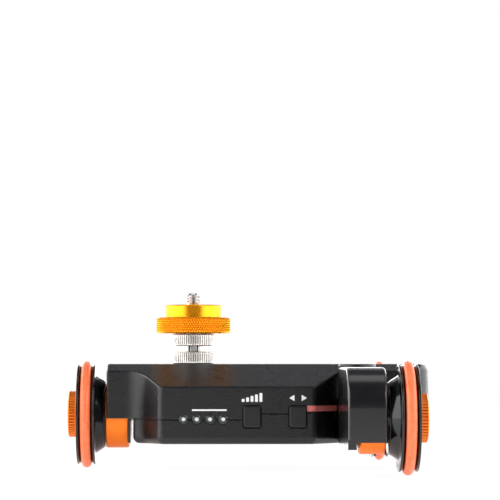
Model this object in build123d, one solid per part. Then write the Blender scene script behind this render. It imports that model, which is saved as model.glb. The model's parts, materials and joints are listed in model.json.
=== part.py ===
from build123d import *
import math
import os

# Motorised three-wheel camera dolly.
# Frame: +Z up, floor at z = 0, origin under the middle of the bounding box.
# The operator's face looks along -Y. Every wheel axle lies along X, so the dolly rolls along Y.
# All sizes are in millimetres.

# ---------------------------------------------------------------- wheels
WHEEL_RADIUS = 24.0
AXLE_Z = WHEEL_RADIUS
TYRE_CORD_RADIUS = 2.25
TYRE_RING_RADIUS = WHEEL_RADIUS - TYRE_CORD_RADIUS
FLANGE_RADIUS = 22.6
FLANGE_FACE = 4.1
FLANGE_EDGE = 0.3
GROOVE_FLOOR_HALF_WIDTH = 2.1
GROOVE_MOUTH_HALF_WIDTH = 3.2
GROOVE_DEPTH = 1.6  # how deep the flared mouth of the groove goes below the flange's edge
CONE_START_RADIUS = 17.7
CONE_END_RADIUS = 15.0
CONE_END = 8.1
HUB_END = 8.5
KNOB_RADIUS = 10.3
KNOB_START = 4.1
KNOB_END = 8.3
KNOB_EDGE = 0.5
AXLE_RADIUS = 3.0
AXLE_THREAD_END = 7.0
AXLE_END = 0.4
AXLE_SHOULDER = (1.0, 0.25)

DRIVE_WHEEL_X = -72.9
IDLER_WHEEL_X = 65.1
IDLER_WHEEL_Y = 80.0

# ---------------------------------------------------------------- bearings and fits
BEARING_OUTER_RADIUS = 5.0
BEARING_WIDTH = 3.0
RUNNING_GAP = 0.05
BLOCK_RADIUS = 15.1
BLOCK_EDGE = 0.5
BLOCK_CLEARANCE = 0.2

# ---------------------------------------------------------------- body
BODY_LEFT = -63.5
BODY_RIGHT = 81.2
BODY_BOTTOM = 11.4
BODY_TOP = 46.6
END_HALF_WIDTH = 18.0
MID_HALF_WIDTH = 34.0
WALL = 2.0
SCOOP_START_X = -55.4
SCOOP_RADIUS = 11.2
SCOOP_ANGLE = 60.0
MID_LEFT = -39.7
MID_RIGHT = 28.5
TAPER_END_X = 41.4
RIGHT_PLAN_RADIUS = 14.0
LEFT_PLAN_RADIUS = 1.0
MID_PLAN_RADIUS = 3.0
TRAY_PLAN_RADIUS = 2.6
TRAY_BOTTOM_RADIUS = 3.0
LEFT_TOP_RADIUS = 1.2
RIGHT_TOP_RADIUS = 3.0
FACET_EDGE_RADIUS = 1.0
FACET_Z_AT_END_WALL = 43.6
FACET_Z_AT_MID_WALL = 36.7
LOWER_SHELL_LEFT = -51.6
SEAM_Z = 22.4
BUTTON_SEAM_Z = 25.05
WINDOW_Z = (25.8, 28.3)
WINDOW_X = (25.0, 38.8)
SEAM_GAP_HEIGHT = 0.5
SEAM_GAP_DEPTH = 0.5
SCREW_PLACES = ((-36.0, -24.5), (-36.0, 24.5), (73.0, -9.0), (73.0, 9.0))
SCREW_RADIUS = 1.2
SCREW_HEAD_RADIUS = 2.2
SCREW_HEAD_DEPTH = 1.6
SCREW_TIP_Z = 27.0
SCREW_POST_RADIUS = 2.8
PAST = 5.0  # how far a cutting shape reaches past what it cuts
HALF_ROOM = 60.0  # half the width of a cutting shape that spans the whole body

# ---------------------------------------------------------------- controls on the front and rear faces
FRONT_Y = -MID_HALF_WIDTH
LED_RADIUS = 2.2
LED_DOME = 1.3
LED_X = (-29.1, -23.3, -17.4, -11.7)
BUTTON_WIDTH = 7.7
BUTTON_HEIGHT = 9.5
BUTTON_Z = 23.5
BUTTON_X = {"speed_button": 0.95, "direction_button": 21.1}
BUTTON_GAP = 0.3
BUTTON_PROUD = 0.7
BUTTON_CORNER_RADIUS = 0.9
BUTTON_EDGE_RADIUS = 0.6
BUTTON_TRAVEL = 0.8
BUTTON_LIP = 0.9
BUTTON_LIP_THICKNESS = 1.0
BUTTON_BACK_Y = FRONT_Y + WALL + 0.1 + BUTTON_LIP_THICKNESS
TACT_FACE_Y = BUTTON_BACK_Y + BUTTON_TRAVEL + 0.1
TACT_PLUNGER = 0.6
TACT_SIZE = 6.0
BOARD_X = (-31.0, 27.0)
BOARD_Y = (-28.0, -26.4)
BOARD_TOP = 35.0
SOCKET_X = -14.0
SOCKET_Z = 18.4
SOCKET_SIZE = (8.6, 3.4)
SOCKET_SHEET = 0.4
SWITCH_X = 12.0
SWITCH_Z = 18.4
SWITCH_SLOT = (7.4, 2.6)
SWITCH_TRAVEL = 3.0
SWITCH_PLAY = 0.3
SWITCH_CASE_Y = (MID_HALF_WIDTH - 7.0, MID_HALF_WIDTH - WALL - 0.1)

# ---------------------------------------------------------------- swinging arms
ARM_X = (39.1, 55.7)
ARM_MID_X = (ARM_X[0] + ARM_X[1]) / 2
ARM_HALF_WIDTH = (ARM_X[1] - ARM_X[0]) / 2
ARM_TOP = 45.2
ARM_BOTTOM = 14.1
ARM_END_RADIUS = 16.8
ARM_SKIRT_BOTTOM = 11.2
ARM_SKIRT_WIDTH = 3.6
PIVOT_Y = 27.5
PIVOT_RADIUS = 3.0
LUG_RADIUS = ARM_HALF_WIDTH
LUG_CLEARANCE = 0.5
LUG_NECK_HALF_WIDTH = 5.9
LUG_EDGE_RADIUS = 0.8
LOWER_LUG_TOP = 31.3
UPPER_LUG_BOTTOM = 42.6
HUB_Z = (31.6, 42.3)
BUSH_RADIUS = 4.6
ARM_BLOCK_X = (44.5, 55.3)
ARM_CROWN_RADIUS = 1.2
ARM_ROOM_X = (ARM_X[0] + 2.6, ARM_X[1] - 2.6)
ARM_ROOM_Y = (42.0, 60.0)
COVER_X = (ARM_X[0] + 4.2, ARM_X[1] - 1.6)
COVER_Y = (37.2, 65.0)
COVER_THICKNESS = 1.2
COVER_SCREW_Y = (39.6, 62.6)
COVER_SCREW_RADIUS = 1.0
COVER_SCREW_HEAD_RADIUS = 1.9
BOLT_HEAD_RADIUS = 5.0
BOLT_HEAD_TOP = 14.4
BOLT_HEAD_HEIGHT = 2.6
BOLT_TOP = 45.0
CLIP_X = (43.4, 44.0)
CLIP_ROOM_RADIUS = 6.0
SET_SCREW_X = 50.3
SET_SCREW_Z = (8.2, 17.5)
SET_SCREW_RADIUS = 1.5

# ---------------------------------------------------------------- camera mount
MOUNT_X = -24.9
STUD_RADIUS = 3.175
SHANK_RADIUS = 3.0
STUD_Z = (41.0, 78.5)
STUD_THREAD_START = 73.7
INSERT_RADIUS = 5.5
INSERT_FLANGE_RADIUS = 8.0
INSERT_FLANGE_THICKNESS = 1.6
SPIGOT_RADIUS = 9.5
SPIGOT_TOP = 60.1
SPIGOT_GROOVE = (52.0, 54.8)
SPIGOT_GROOVE_DEPTH = 1.1
SPIGOT_SLOT_WIDTH = 4.4
SPIGOT_SLOT_DEPTH = 2.0
SCALLOP_RADIUS = 5.05
SCALLOP_DEPTH = 1.9
SCALLOP_HOLE_RADIUS = 1.3
DISC_RADIUS = 16.7
DISC_Z = (60.3, 67.6)
BOSS_RADIUS = 13.3
BOSS_TOP = 73.2
MOUNT_EDGE = 0.6

# ---------------------------------------------------------------- drive train
DRIVE_BLOCK_X = (-64.1, -53.8)
SIDE_PLATE_X = (-53.8, -52.8)
GEAR_X = (-49.0, -45.0)
GEAR_MODULE = 0.6
DRIVE_TEETH = 30
PINION_TEETH = 12
GEAR_BACKLASH = 0.08
PRESSURE_ANGLE = 20.0
ADDENDUM = 0.8
DEDENDUM = 1.1
FLANK_STEPS = 4
MOTOR_Y = 10.0
GEAR_CENTRES = GEAR_MODULE * (DRIVE_TEETH + PINION_TEETH) / 2
MOTOR_Z = AXLE_Z + math.sqrt(GEAR_CENTRES**2 - MOTOR_Y**2)
MOTOR_RADIUS = 8.0
MOTOR_SHAFT_RADIUS = 1.5
GEARBOX_X = (-43.0, -27.0)
MOTOR_X = (-27.0, -6.0)
SHAFT_IN_GEARBOX = 8.0
SIDE_PLATE_Y = 15.4
SIDE_PLATE_Z = (11.2, 40.0)
PLATE_SCREW_Y = 10.5
PLATE_SCREW_RADIUS = 1.0
PLATE_SCREW_HEAD_RADIUS = 1.9
PLATE_SCREW_LENGTH = 6.0
BATTERY_RADIUS = 9.2
BATTERY_X = (0.0, 65.0)
BATTERY_Z = 23.4
BATTERY_NUB = 1.5
BATTERY_CRADLE_X = (12.0, 52.0)
MOTOR_CRADLE_X = (-41.0, -29.0)


# ---------------------------------------------------------------- plain shapes
def block(x, y, z):
    """Box between two limits on each axis."""
    size = Box(x[1] - x[0], y[1] - y[0], z[1] - z[0])
    return Pos((x[0] + x[1]) / 2, (y[0] + y[1]) / 2, (z[0] + z[1]) / 2) * size


def rod_x(radius, x, y=0.0, z=AXLE_Z):
    """Round bar along X between two limits, on the drive axle's line unless placed elsewhere."""
    return Pos((x[0] + x[1]) / 2, y, z) * Rot(0, 90, 0) * Cylinder(radius, x[1] - x[0])


def rod_y(radius, y, x, z):
    """Round bar along Y between two limits."""
    return Pos(x, (y[0] + y[1]) / 2, z) * Rot(90, 0, 0) * Cylinder(radius, y[1] - y[0])


def rod_z(radius, z, x=0.0, y=0.0):
    """Round bar along Z between two limits."""
    return Pos(x, y, (z[0] + z[1]) / 2) * Cylinder(radius, z[1] - z[0])


def turned(profile, axis_x):
    """Solid turned about a vertical line, from (radius, height) points."""
    outline = Polyline(*[(axis_x + radius, 0, height) for radius, height in profile], close=True)
    return revolve(make_face(outline), Axis((axis_x, 0, 0), (0, 0, 1)))


def front_and_rear(rear_shape):
    """A rear-side shape together with its mirror image on the front side."""
    return {"rear": rear_shape, "front": mirror(rear_shape, about=Plane.XZ)}


# ---------------------------------------------------------------- body shells
def body_plan(left, left_corner_radius, inset):
    """Plan of the body as a face at z = 0: narrow ends, wide middle, a scooped left shoulder."""
    scoop_x = SCOOP_START_X + SCOOP_RADIUS * math.sin(math.radians(SCOOP_ANGLE))
    scoop_y = END_HALF_WIDTH + SCOOP_RADIUS * (1 - math.cos(math.radians(SCOOP_ANGLE)))
    half = [
        Polyline((BODY_LEFT, 0), (BODY_LEFT, END_HALF_WIDTH), (SCOOP_START_X, END_HALF_WIDTH)),
        CenterArc((SCOOP_START_X, END_HALF_WIDTH + SCOOP_RADIUS), SCOOP_RADIUS, -90, SCOOP_ANGLE),
        Polyline(
            (scoop_x, scoop_y),
            (MID_LEFT, MID_HALF_WIDTH),
            (MID_RIGHT, MID_HALF_WIDTH),
            (TAPER_END_X, END_HALF_WIDTH),
            (BODY_RIGHT, END_HALF_WIDTH),
            (BODY_RIGHT, 0),
        ),
    ]
    lines = Curve() + half
    plan = make_face(lines + mirror(lines, about=Plane.XZ))
    plan -= Pos((BODY_LEFT + left) / 2 - PAST, 0) * Rectangle(left - BODY_LEFT + 2 * PAST, 2 * HALF_ROOM)
    plan = fillet(plan_corners(plan, MID_LEFT) + plan_corners(plan, MID_RIGHT), MID_PLAN_RADIUS)
    plan = fillet(plan_corners(plan, BODY_RIGHT), RIGHT_PLAN_RADIUS)
    plan = fillet(plan_corners(plan, left), left_corner_radius)
    if inset:
        plan = offset(plan, -inset, kind=Kind.INTERSECTION)
    return plan


def plan_corners(plan, x):
    """The two corners of the plan that lie at one place along the body."""
    return [v for v in plan.vertices() if abs(v.X - x) < 0.01 and abs(v.Y) > 1]


def facet_cutters(drop):
    """The two wedges that slope the body's top, sunk square to the slope by a distance."""
    slope = (FACET_Z_AT_END_WALL - FACET_Z_AT_MID_WALL) / (MID_HALF_WIDTH - END_HALF_WIDTH)
    drop_down = drop * math.sqrt(1 + slope**2)
    top = BODY_TOP - drop
    inner_y = END_HALF_WIDTH - (top + drop_down - FACET_Z_AT_END_WALL) / slope
    outer_y = MID_HALF_WIDTH + PAST
    outer_z = FACET_Z_AT_MID_WALL - PAST * slope - drop_down
    outline = Polyline(
        (BODY_LEFT - PAST, inner_y, top),
        (BODY_LEFT - PAST, outer_y, outer_z),
        (BODY_LEFT - PAST, outer_y, BODY_TOP + PAST),
        (BODY_LEFT - PAST, inner_y, BODY_TOP + PAST),
        close=True,
    )
    wedge = extrude(make_face(outline), BODY_RIGHT - BODY_LEFT + 2 * PAST, dir=(1, 0, 0))
    return wedge + mirror(wedge, about=Plane.XZ)


def body_outer(z, inset=0.0):
    """The body's full outer form between two heights, or the same drawn in by an inset."""
    return Pos(0, 0, z[0]) * extrude(body_plan(BODY_LEFT, LEFT_PLAN_RADIUS, inset), z[1] - z[0])


def tray_outer(z):
    """The lower shell's outer form: the same plan, cut off square under the hood."""
    return Pos(0, 0, z[0]) * extrude(body_plan(LOWER_SHELL_LEFT, TRAY_PLAN_RADIUS, 0), z[1] - z[0])


def below_seam():
    """Everything that belongs to the lower shell: the seam steps up beside the buttons."""
    bottom = BODY_BOTTOM - PAST
    front_y = (-HALF_ROOM, 10 - END_HALF_WIDTH)
    first_step = (BUTTON_X["speed_button"], BUTTON_X["direction_button"])
    second_step = (BUTTON_X["direction_button"], ARM_X[0] - 1)
    below = block((BODY_LEFT - PAST, BODY_RIGHT + PAST), (-HALF_ROOM, HALF_ROOM), (bottom, SEAM_Z))
    below += block(first_step, front_y, (bottom, BUTTON_SEAM_Z))
    return below + block(second_step, front_y, (bottom, WINDOW_Z[0]))


def seam_gap():
    """Thin outer strip just under the seam that is left open as a shadow line."""
    z = (BODY_BOTTOM, WINDOW_Z[0])
    skin = body_outer(z) - body_outer(z, SEAM_GAP_DEPTH)
    top_layer = below_seam() - Pos(0, 0, -SEAM_GAP_HEIGHT) * below_seam()
    return skin & top_layer


def cavity():
    """The room inside both shells, with its ceiling parallel to the outer faces."""
    room = body_outer((BODY_BOTTOM + WALL, BODY_TOP - WALL), WALL)
    return room - facet_cutters(WALL)


def front_openings():
    """Holes through the front wall for the lamps and buttons, and the slot for the window."""
    wall_y = (FRONT_Y - PAST, FRONT_Y + PAST)
    holes = [rod_y(LED_RADIUS + 0.05, wall_y, x, SEAM_Z) for x in LED_X]
    half_width = BUTTON_WIDTH / 2 + BUTTON_GAP
    half_height = BUTTON_HEIGHT / 2 + BUTTON_GAP
    for x in BUTTON_X.values():
        z = (BUTTON_Z - half_height, BUTTON_Z + half_height)
        hole = block((x - half_width, x + half_width), wall_y, z)
        holes.append(fillet(hole.edges().filter_by(Axis.Y), BUTTON_CORNER_RADIUS + BUTTON_GAP))
    return holes


def rear_openings():
    """Holes through the rear wall for the charging socket and the power switch."""
    wall_y = (MID_HALF_WIDTH - PAST, MID_HALF_WIDTH + PAST)
    holes = []
    for x, z, (width, height) in ((SOCKET_X, SOCKET_Z, SOCKET_SIZE), (SWITCH_X, SWITCH_Z, SWITCH_SLOT)):
        holes.append(block((x - width / 2, x + width / 2), wall_y, (z - height / 2, z + height / 2)))
    return holes


def screw_bosses(z):
    """Round posts for the case screws between two heights."""
    return [rod_z(SCREW_POST_RADIUS, z, x, y) for x, y in SCREW_PLACES]


def pivot_lug(z, root_y):
    """Rear lug that holds the arm's pivot bolt, joined to the body by a narrower neck."""
    disc = rod_z(LUG_RADIUS, z, ARM_MID_X, PIVOT_Y)
    neck_x = (ARM_MID_X - LUG_NECK_HALF_WIDTH, ARM_MID_X + LUG_NECK_HALF_WIDTH)
    return disc + block(neck_x, (root_y, PIVOT_Y), z)


def upper_shell():
    """Top casing: sloped facets, hood over the drive bearing, upper pivot lugs, screw posts."""
    shell = body_outer((SEAM_Z - PAST, BODY_TOP)) - facet_cutters(0)
    left_rim = top_rim(shell).filter_by(lambda edge: edge.center().X < BODY_LEFT + PAST)
    shell = fillet(left_rim, LEFT_TOP_RADIUS)
    right_rim = top_rim(shell).filter_by(lambda edge: edge.center().X > BODY_RIGHT - RIGHT_PLAN_RADIUS)
    shell = fillet(right_rim, RIGHT_TOP_RADIUS)
    shell = fillet(shell.edges().filter_by(is_facet_edge), FACET_EDGE_RADIUS)
    shell -= cavity()
    posts = Part() + screw_bosses((SEAM_Z, BODY_TOP - WALL))
    shell += posts & body_outer((SEAM_Z, BODY_TOP - WALL))
    shell -= facet_cutters(0)
    upper_lug = pivot_lug((UPPER_LUG_BOTTOM, BODY_TOP), END_HALF_WIDTH - PAST)
    upper_lug = fillet(top_rim(upper_lug), LUG_EDGE_RADIUS)
    shell += list(front_and_rear(upper_lug).values())
    shell -= below_seam()
    arch_x = (BODY_LEFT - PAST, BODY_LEFT + WALL + 1)
    arch_radius = BLOCK_RADIUS + BLOCK_CLEARANCE
    shell -= rod_x(arch_radius, arch_x) + block(arch_x, (-arch_radius, arch_radius), (0, AXLE_Z))
    shell -= rod_z(INSERT_RADIUS, (BODY_TOP - WALL - 1, BODY_TOP + 1), MOUNT_X)
    shell -= front_openings() + rear_openings()
    shell -= window_slot()
    shell -= [rod_z(SCREW_RADIUS, (SEAM_Z, SCREW_TIP_Z + 0.5), x, y) for x, y in SCREW_PLACES]
    bolt_hole = rod_z(PIVOT_RADIUS, (UPPER_LUG_BOTTOM - 1, BOLT_TOP), ARM_MID_X, PIVOT_Y)
    shell -= list(front_and_rear(bolt_hole).values())
    return shell


def top_rim(shape):
    """The edges round the highest face of a shape."""
    return shape.edges().group_by(Axis.Z)[-1]


def is_facet_edge(edge):
    """True for the edges where a sloped facet meets a wall."""
    low, high = edge.bounding_box().min.Z, edge.bounding_box().max.Z
    outer = abs(edge.center().Y) > END_HALF_WIDTH - 1
    return outer and low > FACET_Z_AT_MID_WALL - 1 and high < FACET_Z_AT_END_WALL + 1


def window_slot():
    """Slot through the front right shoulder that the window fills."""
    return block(WINDOW_X, (-HALF_ROOM, -END_HALF_WIDTH / 2), WINDOW_Z)


def lower_shell():
    """Bottom tray with a stepped rim, lower pivot lugs, screw posts and a notch for the axle."""
    shell = tray_outer((BODY_BOTTOM, WINDOW_Z[0]))
    shell = fillet(shell.edges().group_by(Axis.Z)[0], TRAY_BOTTOM_RADIUS)
    shell -= cavity() & block((LOWER_SHELL_LEFT + WALL, BODY_RIGHT), (-HALF_ROOM, HALF_ROOM), (0, BODY_TOP))
    shell += screw_bosses((BODY_BOTTOM + WALL, SEAM_Z))
    shell = (shell & below_seam()) - seam_gap()
    shell -= rod_x(AXLE_RADIUS + 0.6, (LOWER_SHELL_LEFT - 1, LOWER_SHELL_LEFT + WALL + 1))
    shell -= front_openings() + rear_openings()
    lug = pivot_lug((BODY_BOTTOM, LOWER_LUG_TOP), END_HALF_WIDTH + 0.1)
    lug += pivot_lug((BODY_BOTTOM, SEAM_Z), END_HALF_WIDTH - 1)
    lug = fillet(lug.edges().group_by(Axis.Z)[0], LUG_EDGE_RADIUS)
    lug -= rod_z(PIVOT_RADIUS, (BODY_BOTTOM - 1, LOWER_LUG_TOP + 1), ARM_MID_X, PIVOT_Y)
    lug -= rod_z(BOLT_HEAD_RADIUS + 0.1, (BODY_BOTTOM - 1, BOLT_HEAD_TOP), ARM_MID_X, PIVOT_Y)
    shell += list(front_and_rear(lug).values())
    for x, y in SCREW_PLACES:
        shell -= rod_z(SCREW_RADIUS, (BODY_BOTTOM - 1, SEAM_Z + 1), x, y)
        shell -= rod_z(SCREW_HEAD_RADIUS, (BODY_BOTTOM - 1, BODY_BOTTOM + SCREW_HEAD_DEPTH), x, y)
    return shell


def case_screws():
    """Four countersunk screws that hold the two shells together from below."""
    return [
        rod_z(SCREW_RADIUS, (BODY_BOTTOM + 0.4, SCREW_TIP_Z), x, y)
        + rod_z(SCREW_HEAD_RADIUS, (BODY_BOTTOM + 0.4, BODY_BOTTOM + SCREW_HEAD_DEPTH), x, y)
        for x, y in SCREW_PLACES
    ]


def ir_window():
    """Red strip that fills its slot, flush with the wall and wrapped round the shoulder."""
    wall = body_outer(WINDOW_Z) - body_outer(WINDOW_Z, WALL)
    return wall & window_slot()


# ---------------------------------------------------------------- controls
def push_button(x):
    """Button cap with softened edges and a lip behind the wall that keeps it in."""
    width = (x - BUTTON_WIDTH / 2, x + BUTTON_WIDTH / 2)
    height = (BUTTON_Z - BUTTON_HEIGHT / 2, BUTTON_Z + BUTTON_HEIGHT / 2)
    cap = block(width, (FRONT_Y - BUTTON_PROUD, BUTTON_BACK_Y), height)
    cap = fillet(cap.edges().filter_by(Axis.Y), BUTTON_CORNER_RADIUS)
    cap = fillet(cap.edges().group_by(Axis.Y)[0], BUTTON_EDGE_RADIUS)
    lip = block(
        (width[0] - BUTTON_LIP, width[1] + BUTTON_LIP),
        (BUTTON_BACK_Y - BUTTON_LIP_THICKNESS, BUTTON_BACK_Y),
        (height[0] - BUTTON_LIP, height[1] + BUTTON_LIP),
    )
    return cap + lip


def status_leds():
    """Four domed indicator lamps that stand on the board and look out through the seam."""
    lamps = []
    for x in LED_X:
        lamp = rod_y(LED_RADIUS, (FRONT_Y - LED_DOME, BOARD_Y[0]), x, SEAM_Z)
        lamps.append(fillet(lamp.edges().group_by(Axis.Y)[0], LED_DOME))
    return lamps


def tact_switches():
    """The small switches that the two buttons press."""
    switches = []
    half = TACT_SIZE / 2
    case_front = TACT_FACE_Y + TACT_PLUNGER
    for x in BUTTON_X.values():
        case = block((x - half, x + half), (case_front, BOARD_Y[0]), (BUTTON_Z - half, BUTTON_Z + half))
        switches.append(case + rod_y(half / 2, (TACT_FACE_Y, case_front), x, BUTTON_Z))
    return switches


def circuit_board():
    """Control board that stands behind the front wall."""
    return block(BOARD_X, BOARD_Y, (BODY_BOTTOM + WALL, BOARD_TOP))


def charging_socket():
    """Flat charging socket in the rear wall: a metal sleeve with a tongue."""
    half_width, half_height = SOCKET_SIZE[0] / 2, SOCKET_SIZE[1] / 2
    y = (MID_HALF_WIDTH - 7.0, MID_HALF_WIDTH - 0.3)

    def layer(margin, y_limits, half_thickness):
        """Box centred on the socket, narrower than its mouth by a margin at each end."""
        x = (SOCKET_X - half_width + margin, SOCKET_X + half_width - margin)
        return block(x, y_limits, (SOCKET_Z - half_thickness, SOCKET_Z + half_thickness))

    sleeve = layer(0, y, half_height)
    sleeve -= layer(SOCKET_SHEET, (y[0] + 1.0, y[1] + PAST), half_height - SOCKET_SHEET)
    return sleeve + layer(4 * SOCKET_SHEET, (y[0], y[1] - 1.0), SOCKET_SHEET)


def power_switch_case():
    """Slide switch case behind the rear wall, with a slot that its knob runs in."""
    half_width, half_height = SWITCH_SLOT[0] / 2, SWITCH_SLOT[1] / 2

    def layer(margin, y_limits):
        """Box centred on the switch, larger than its slot by a margin all round."""
        x = (SWITCH_X - half_width - margin, SWITCH_X + half_width + margin)
        return block(x, y_limits, (SWITCH_Z - half_height - margin, SWITCH_Z + half_height + margin))

    return layer(1.3, SWITCH_CASE_Y) - layer(0, (SWITCH_CASE_Y[1] - 2.0, SWITCH_CASE_Y[1] + PAST))


def power_switch_knob():
    """Ribbed slide knob, drawn in its off position at the -X end of the slot."""
    half_width = (SWITCH_SLOT[0] - SWITCH_TRAVEL) / 2 - SWITCH_PLAY
    half_height = SWITCH_SLOT[1] / 2 - SWITCH_PLAY
    x_mid = SWITCH_X - SWITCH_TRAVEL / 2
    y = (SWITCH_CASE_Y[1] - 1.8, MID_HALF_WIDTH + 1.2)
    z = (SWITCH_Z - half_height, SWITCH_Z + half_height)
    knob = block((x_mid - half_width, x_mid + half_width), y, z)
    for step in (-0.9, 0.0, 0.9):
        x = x_mid + step
        knob -= block((x - 0.2, x + 0.2), (y[1] - 0.4, y[1] + 1), (z[0] - 1, z[1] + 1))
    return knob


# ---------------------------------------------------------------- power and drive train
def battery_cell():
    """Round rechargeable cell along the body, with a contact nub at its +X end."""
    nub_start = BATTERY_X[1] - BATTERY_NUB
    cell = rod_x(BATTERY_RADIUS, (BATTERY_X[0], nub_start), 0, BATTERY_Z)
    cell = chamfer(cell.edges().filter_by(GeomType.CIRCLE), 0.6)
    return cell + rod_x(BATTERY_RADIUS / 3, (nub_start, BATTERY_X[1]), 0, BATTERY_Z)


def cradle(x, half_width, centre_y, centre_z, radius):
    """Saddle on the tray's floor that a round thing lies in."""
    y = (centre_y - half_width, centre_y + half_width)
    saddle = block(x, y, (BODY_BOTTOM + WALL, centre_z - radius / 3))
    return saddle - rod_x(radius, (x[0] - 1, x[1] + 1), centre_y, centre_z)


def gear_motor():
    """Small round motor with its reduction gearbox, bored for the output shaft."""
    gearbox = rod_x(MOTOR_RADIUS, GEARBOX_X, MOTOR_Y, MOTOR_Z)
    can = rod_x(MOTOR_RADIUS - 0.6, MOTOR_X, MOTOR_Y, MOTOR_Z)
    end_cap = rod_x(MOTOR_RADIUS / 2, (MOTOR_X[1], MOTOR_X[1] + 2.0), MOTOR_Y, MOTOR_Z)
    bore_x = (GEARBOX_X[0] - 1, GEARBOX_X[0] + SHAFT_IN_GEARBOX + 0.2)
    return gearbox + can + end_cap - rod_x(MOTOR_SHAFT_RADIUS + RUNNING_GAP, bore_x, MOTOR_Y, MOTOR_Z)


def motor_shaft():
    """Output shaft of the gearbox, from inside the gearbox to the pinion's outer face."""
    return rod_x(MOTOR_SHAFT_RADIUS, (GEAR_X[0], GEARBOX_X[0] + SHAFT_IN_GEARBOX), MOTOR_Y, MOTOR_Z)


def involute_gear(teeth, bore_radius, tooth_angle, centre_y, centre_z):
    """Spur gear along X. One tooth points at tooth_angle degrees, measured from +Y towards +Z."""
    pitch_radius = GEAR_MODULE * teeth / 2
    base_radius = pitch_radius * math.cos(math.radians(PRESSURE_ANGLE))
    tip_radius = pitch_radius + ADDENDUM * GEAR_MODULE
    root_radius = pitch_radius - DEDENDUM * GEAR_MODULE
    half_tooth = (math.pi * GEAR_MODULE / 2 - GEAR_BACKLASH) / (2 * pitch_radius)
    start_radius = max(base_radius, root_radius)

    def flank_angle(radius):
        """Half the tooth's angle at a radius, from the involute of the base circle."""
        def involute(r):
            pressure = math.acos(min(1.0, base_radius / r))
            return math.tan(pressure) - pressure
        return half_tooth + involute(pitch_radius) - involute(radius)

    steps = [start_radius + (tip_radius - start_radius) * i / FLANK_STEPS for i in range(FLANK_STEPS + 1)]
    flank = [(root_radius, flank_angle(start_radius))] if start_radius > root_radius else []
    flank += [(radius, flank_angle(radius)) for radius in steps]
    points = []
    for tooth in range(teeth):
        middle = math.radians(tooth_angle) + 2 * math.pi * tooth / teeth
        sides = [(radius, middle - angle) for radius, angle in flank]
        sides += [(radius, middle + angle) for radius, angle in reversed(flank)]
        points += [
            (GEAR_X[0], centre_y + radius * math.cos(angle), centre_z + radius * math.sin(angle))
            for radius, angle in sides
        ]
    wheel = extrude(make_face(Polyline(*points, close=True)), GEAR_X[1] - GEAR_X[0], dir=(1, 0, 0))
    return wheel - rod_x(bore_radius, (GEAR_X[0] - 1, GEAR_X[1] + 1), centre_y, centre_z)


def gear_pair():
    """Drive gear and motor pinion, in mesh: a tooth of one faces a gap of the other."""
    towards_pinion = math.degrees(math.atan2(MOTOR_Z - AXLE_Z, MOTOR_Y))
    drive = involute_gear(DRIVE_TEETH, AXLE_RADIUS, towards_pinion, 0, AXLE_Z)
    pinion_angle = towards_pinion + 180 + 180 / PINION_TEETH
    pinion = involute_gear(PINION_TEETH, MOTOR_SHAFT_RADIUS, pinion_angle, MOTOR_Y, MOTOR_Z)
    return drive, pinion


def bearing_block(x, y=0.0, drilled=False):
    """Orange round housing, bored for an axle with a bearing seat at each end."""
    housing = rod_x(BLOCK_RADIUS, x, y)
    housing = chamfer(housing.edges().filter_by(GeomType.CIRCLE), BLOCK_EDGE)
    housing -= rod_x(AXLE_RADIUS + 1.0, (x[0] - 1, x[1] + 1), y)
    for seat in bearing_seats(x):
        housing -= rod_x(BEARING_OUTER_RADIUS, seat, y)
    return housing - set_screw_hole(y) if drilled else housing


def bearing_seats(x):
    """The two lengths of a housing that its bearings fill."""
    return [(x[0], x[0] + BEARING_WIDTH), (x[1] - BEARING_WIDTH, x[1])]


def bearings(x, y=0.0):
    """The pair of axle bearings of one housing."""
    return [
        rod_x(BEARING_OUTER_RADIUS, seat, y) - rod_x(AXLE_RADIUS + RUNNING_GAP, (seat[0] - 1, seat[1] + 1), y)
        for seat in bearing_seats(x)
    ]


def drive_side_plate():
    """Thin upright plate on the inner face of the drive bearing housing."""
    plate = block(SIDE_PLATE_X, (-SIDE_PLATE_Y, SIDE_PLATE_Y), SIDE_PLATE_Z)
    plate = fillet(plate.edges().filter_by(Axis.X), 3.0)
    through = (SIDE_PLATE_X[0] - 1, SIDE_PLATE_X[1] + 1)
    plate -= rod_x(AXLE_RADIUS + 1.0, through)
    for y in (-PLATE_SCREW_Y, PLATE_SCREW_Y):
        plate -= rod_x(PLATE_SCREW_RADIUS, through, y)
    return plate


def side_plate_screws():
    """Two small screws through the side plate into the drive bearing housing."""
    return [
        rod_x(PLATE_SCREW_RADIUS, (SIDE_PLATE_X[0] - PLATE_SCREW_LENGTH, SIDE_PLATE_X[1]), y)
        + rod_x(PLATE_SCREW_HEAD_RADIUS, (SIDE_PLATE_X[1], SIDE_PLATE_X[1] + 0.8), y)
        for y in (-PLATE_SCREW_Y, PLATE_SCREW_Y)
    ]


def drive_bearing_block():
    """The drive wheel's bearing housing, with holes for the side plate's screws."""
    housing = bearing_block(DRIVE_BLOCK_X)
    for y in (-PLATE_SCREW_Y, PLATE_SCREW_Y):
        housing -= rod_x(PLATE_SCREW_RADIUS, (SIDE_PLATE_X[0] - PLATE_SCREW_LENGTH, SIDE_PLATE_X[1]), y)
    return housing


# ---------------------------------------------------------------- wheels
def wheel_place(plane_x, y, outboard):
    """Location that carries the local +Z axis to a wheel's outboard direction."""
    return Pos(plane_x, y, AXLE_Z) * Rot(0, 90 * outboard, 0)


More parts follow.
